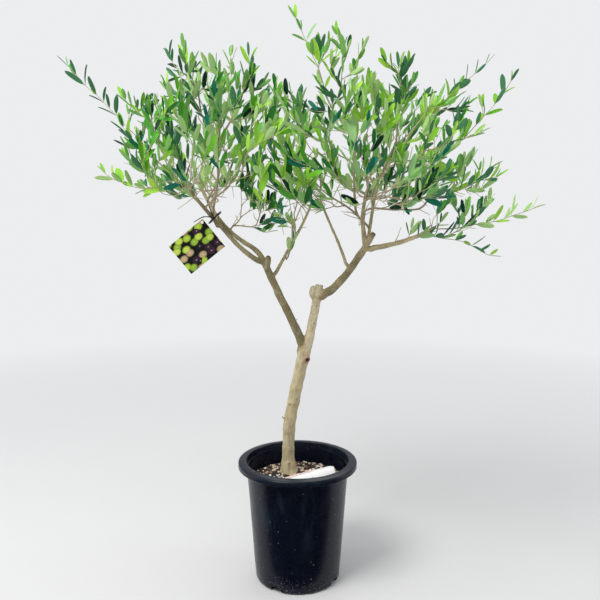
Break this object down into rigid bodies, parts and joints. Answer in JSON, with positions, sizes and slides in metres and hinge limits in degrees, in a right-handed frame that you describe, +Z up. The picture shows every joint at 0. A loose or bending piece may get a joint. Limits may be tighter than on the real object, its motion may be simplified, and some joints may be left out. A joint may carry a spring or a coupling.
{
  "type": "potted olive tree",
  "caption": "Young olive tree with an open two-lobed crown on a slim forked trunk, in a round black nursery pot with a hang tag and a blank label.",
  "frame": {"origin": "centre of the pot's flat underside, where it stands on the ground", "axes": "+Z up along the pot's axis to the top of the crown, the fork opens along X, -Y is the front"},
  "size_m": [0.928, 0.5221, 1.126],
  "materials": {
    "pot_plastic": "satin",
    "soil": "matte",
    "bark": "matte",
    "leaves": "matte",
    "label_plastic": "matte",
    "tag_card": "satin",
    "tie_plastic": "matte"
  },
  "bodies": {
    "root": {"centre_back_mass": "leaves", "centre_front_mass": "leaves", "centre_left_mass": "leaves", "centre_low_mass": "leaves", "centre_right_mass": "leaves", "centre_top_mass": "leaves", "crown_tip": "leaves", "hang_tag": "tag_card", "leader": "bark", "left_back_mass": "leaves", "left_fore_mass": "leaves", "left_front_mass": "leaves", "left_high_tip": "leaves", "left_inner_bough": "bark", "left_low_tip": "leaves", "left_main_bough": "bark", "left_outer_bough": "bark", "left_rear_mass": "leaves", "left_sawn_stub": "bark", "left_shoulder_mass": "leaves", "left_spire_mass": "leaves", "left_upright_branch": "bark", "low_sprig": "leaves", "plant_label": "label_plastic", "pot": "pot_plastic", "pot_lip": "pot_plastic", "right_back_branch": "bark", "right_back_mass": "leaves", "right_crown_mass": "leaves", "right_far_tip": "leaves", "right_fore_mass": "leaves", "right_front_branch": "bark", "right_front_mass": "leaves", "right_high_tip": "leaves", "right_inner_branch": "bark", "right_low_mass": "leaves", "right_low_tip": "leaves", "right_main_bough": "bark", "right_outer_bough": "bark", "right_outer_mass": "leaves", "right_rear_mass": "leaves", "right_sawn_stub": "bark", "right_shoulder_mass": "leaves", "right_upper_tip": "leaves", "soil": "soil", "tag_tie": "tie_plastic", "trunk": "bark"}
  },
  "joints": []
}
